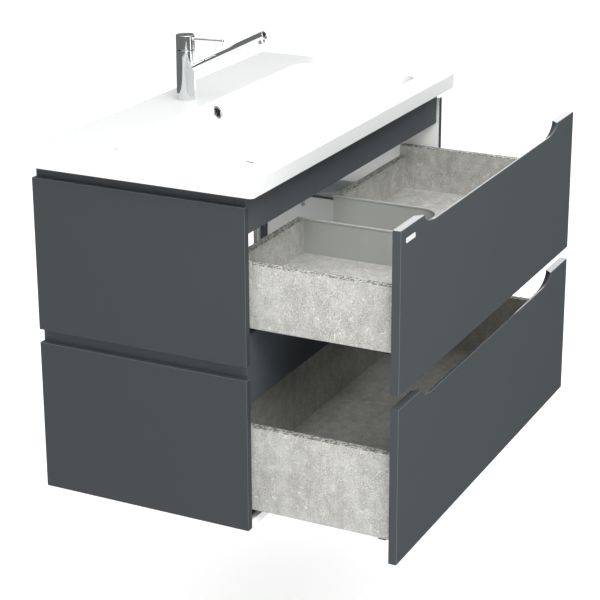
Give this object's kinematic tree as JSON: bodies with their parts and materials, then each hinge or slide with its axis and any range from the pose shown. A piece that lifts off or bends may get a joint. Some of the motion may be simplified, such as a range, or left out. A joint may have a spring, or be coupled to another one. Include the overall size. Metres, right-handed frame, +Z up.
{
  "type": "wall-hung bathroom vanity cabinet",
  "caption": "Wall-hung vanity: ceramic basin with pillar mixer tap on a dark cabinet with open drawers; the upper one is cut round the waste trap.",
  "frame": {"origin": "on the wall plane, midway between the two wall plate screws", "axes": "+X across the front to the right seen from the room, +Y into the wall, +Z up"},
  "size_m": [1, 0.8212, 0.8964],
  "materials": {
    "outer_board": "matt anthracite melamine outside, white melamine inside",
    "front_board": "matt anthracite laminate with bevelled edges",
    "rail_board": "matt anthracite melamine",
    "white_board": "white melamine",
    "drawer_decor": "light grey concrete decor",
    "basin_glaze": "white glazed ceramic",
    "guard_plastic": "satin silver grey plastic",
    "dark_plastic": "black moulded plastic",
    "chrome": "polished chrome",
    "aerator_steel": "steel and plastic insert",
    "brass": "turned brass",
    "zinc_runner": "zinc plated steel",
    "screw_steel": "zinc plated screw",
    "badge_metal": "blank satin plate"
  },
  "bodies": {
    "carcass": {"basin": "basin_glaze", "carcass_screws": "screw_steel", "front_mid_rail": "rail_board", "front_stretcher": "white_board", "front_top_rail": "rail_board", "hanger_left": "dark_plastic", "hanger_right": "dark_plastic", "lower_fixed_runners": "zinc_runner", "lower_side_left": "outer_board", "lower_side_right": "outer_board", "mid_strip_left": "rail_board", "mid_strip_right": "rail_board", "outlet_pipe": "chrome", "overflow_ring": "chrome", "rear_stretcher": "white_board", "rear_top_rail": "white_board", "tail_pipe": "chrome", "tap_aerator": "aerator_steel", "tap_body": "chrome", "tap_nut": "brass", "tap_shank": "brass", "tap_spout": "chrome", "top_strip_left": "rail_board", "top_strip_right": "rail_board", "trap_cup": "chrome", "trap_head": "chrome", "trap_nuts": "chrome", "upper_fixed_runners": "zinc_runner", "upper_side_left": "outer_board", "upper_side_right": "outer_board", "wall_plate_left": "zinc_runner", "wall_plate_right": "zinc_runner", "wall_rosette": "chrome", "waste_body": "chrome"},
    "upper_drawer": {"upper_front": "front_board", "upper_box_left": "drawer_decor", "upper_box_right": "drawer_decor", "upper_back_left": "drawer_decor", "upper_back_right": "drawer_decor", "upper_floor": "drawer_decor", "siphon_guard": "guard_plastic", "badge": "badge_metal", "upper_clips": "dark_plastic", "upper_screws": "screw_steel", "upper_box_runners": "zinc_runner"},
    "lower_drawer": {"lower_front": "front_board", "lower_box_left": "drawer_decor", "lower_box_right": "drawer_decor", "lower_back": "drawer_decor", "lower_floor": "drawer_decor", "lower_clips": "dark_plastic", "lower_screws": "screw_steel", "lower_box_runners": "zinc_runner"},
    "upper_middle": {"upper_middle_runners": "zinc_runner"},
    "lower_middle": {"lower_middle_runners": "zinc_runner"},
    "tap_swivel": {"tap_stem": "brass"},
    "tap_handle": {"tap_cap": "chrome", "tap_lever": "chrome"},
    "plug": {"waste_plug": "chrome"}
  },
  "joints": [
    {"name": "upper_drawer_slide", "type": "slide", "parent": "carcass", "child": "upper_drawer", "axis": [0, -1, 0], "range_m": [-0.3, 0.1]},
    {"name": "upper_middle_slide", "type": "slide", "parent": "carcass", "child": "upper_middle", "axis": [0, -1, 0], "range_m": [-0.15, 0.05]},
    {"name": "lower_drawer_slide", "type": "slide", "parent": "carcass", "child": "lower_drawer", "axis": [0, -1, 0], "range_m": [-0.3, 0.1]},
    {"name": "lower_middle_slide", "type": "slide", "parent": "carcass", "child": "lower_middle", "axis": [0, -1, 0], "range_m": [-0.15, 0.05]},
    {"name": "tap_turn", "type": "hinge", "parent": "carcass", "child": "tap_swivel", "pos_m": [0, -0.074, 0.2], "axis": [0, 0, 1], "range_deg": [-45, 45]},
    {"name": "tap_lift", "type": "hinge", "parent": "tap_swivel", "child": "tap_handle", "pos_m": [0, -0.058, 0.2085], "axis": [-1, 0, 0], "range_deg": [0, 15]},
    {"name": "plug_lift", "type": "slide", "parent": "carcass", "child": "plug", "axis": [0, 0, 1], "range_m": [0, 0.008]}
  ],
  "couplings": [
    {"joint": "upper_middle_slide", "follows": "upper_drawer_slide", "ratio": 0.5},
    {"joint": "lower_middle_slide", "follows": "lower_drawer_slide", "ratio": 0.5}
  ]
}
